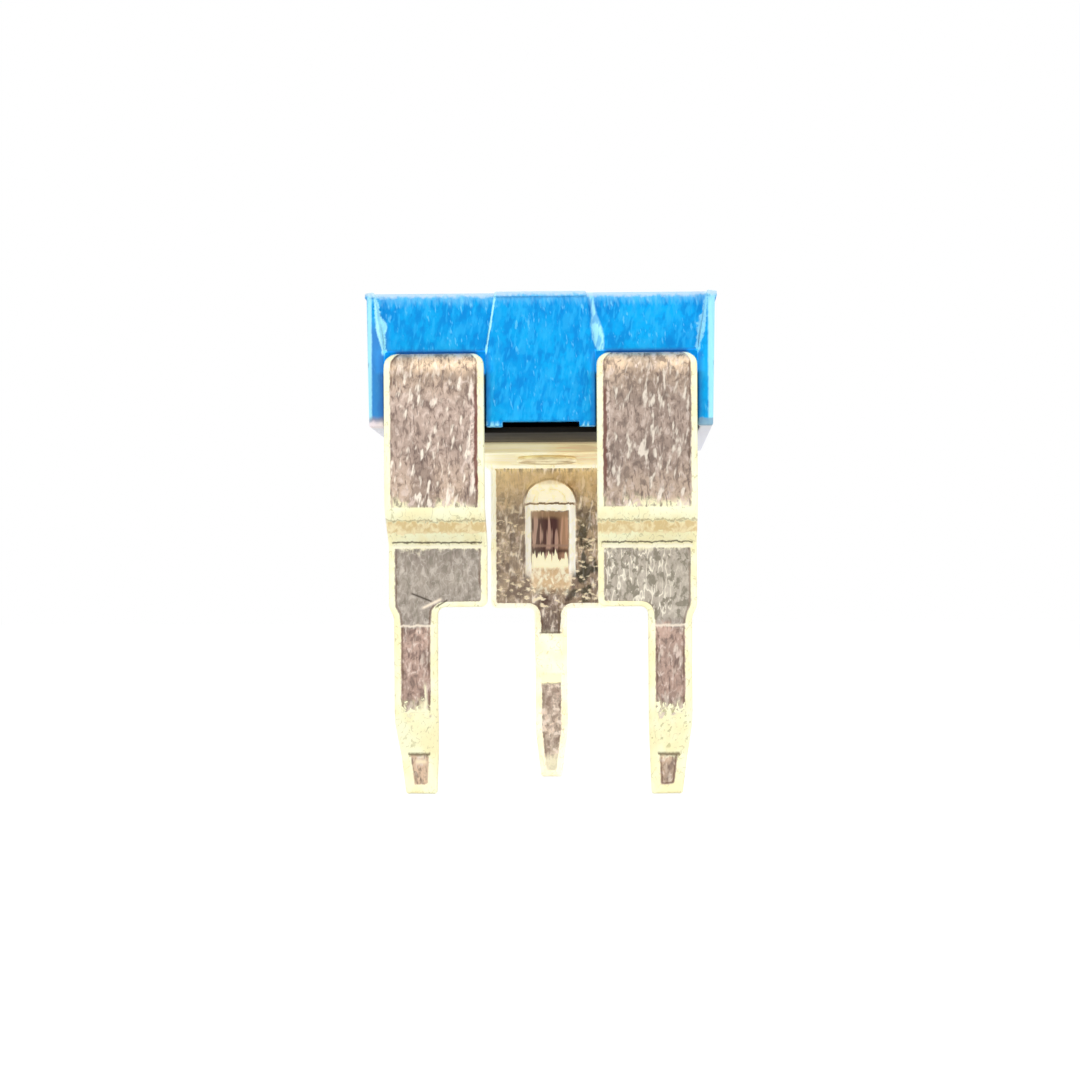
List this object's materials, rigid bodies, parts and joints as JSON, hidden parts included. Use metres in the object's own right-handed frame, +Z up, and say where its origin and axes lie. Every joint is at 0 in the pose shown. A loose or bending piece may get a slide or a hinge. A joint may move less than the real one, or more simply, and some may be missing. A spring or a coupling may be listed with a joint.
{
  "type": "trimmer potentiometer",
  "caption": "Small top-adjust carbon trimmer with a blue moulded cover, a slotted rotor and wide stamped solder terminals with kinked pins.",
  "frame": {"origin": "on the rotor's axis, level with the pin tips", "axes": "+Z up along the rotor's axis out of the dial, -Y towards the two front terminals, +X to the right seen from the front"},
  "size_m": [0.0068, 0.0079, 0.0098],
  "materials": {
    "blue_cover": "azure moulded plastic, lightly scuffed, whitened at its edges",
    "white_dial": "off-white moulded plastic",
    "spring_bronze": "bright rolled spring sheet",
    "phenolic_board": "dark brown paper phenolic with a dull face",
    "carbon_film": "dull black screen-printed carbon",
    "silver_print": "dull silver screen print",
    "tinned_brass": "tin-plated drawn brass",
    "tinned_sheet": "tin-plated sheet with fine scratches and bright sheared edges"
  },
  "bodies": {
    "base": {"housing": "blue_cover", "substrate": "phenolic_board", "resistive_track": "carbon_film", "electrode_left": "silver_print", "electrode_right": "silver_print", "centre_eyelet": "tinned_brass", "rivet_left": "tinned_brass", "rivet_right": "tinned_brass", "terminal_left": "tinned_sheet", "terminal_right": "tinned_sheet", "terminal_centre": "tinned_sheet"},
    "dial": {"rotor": "white_dial", "wiper": "spring_bronze"}
  },
  "joints": [
    {"name": "rotor_turn", "type": "hinge", "parent": "base", "child": "dial", "pos_m": [0, 0, 0.0085], "axis": [0, 0, 1], "range_deg": [-117.5, 117.5]}
  ]
}
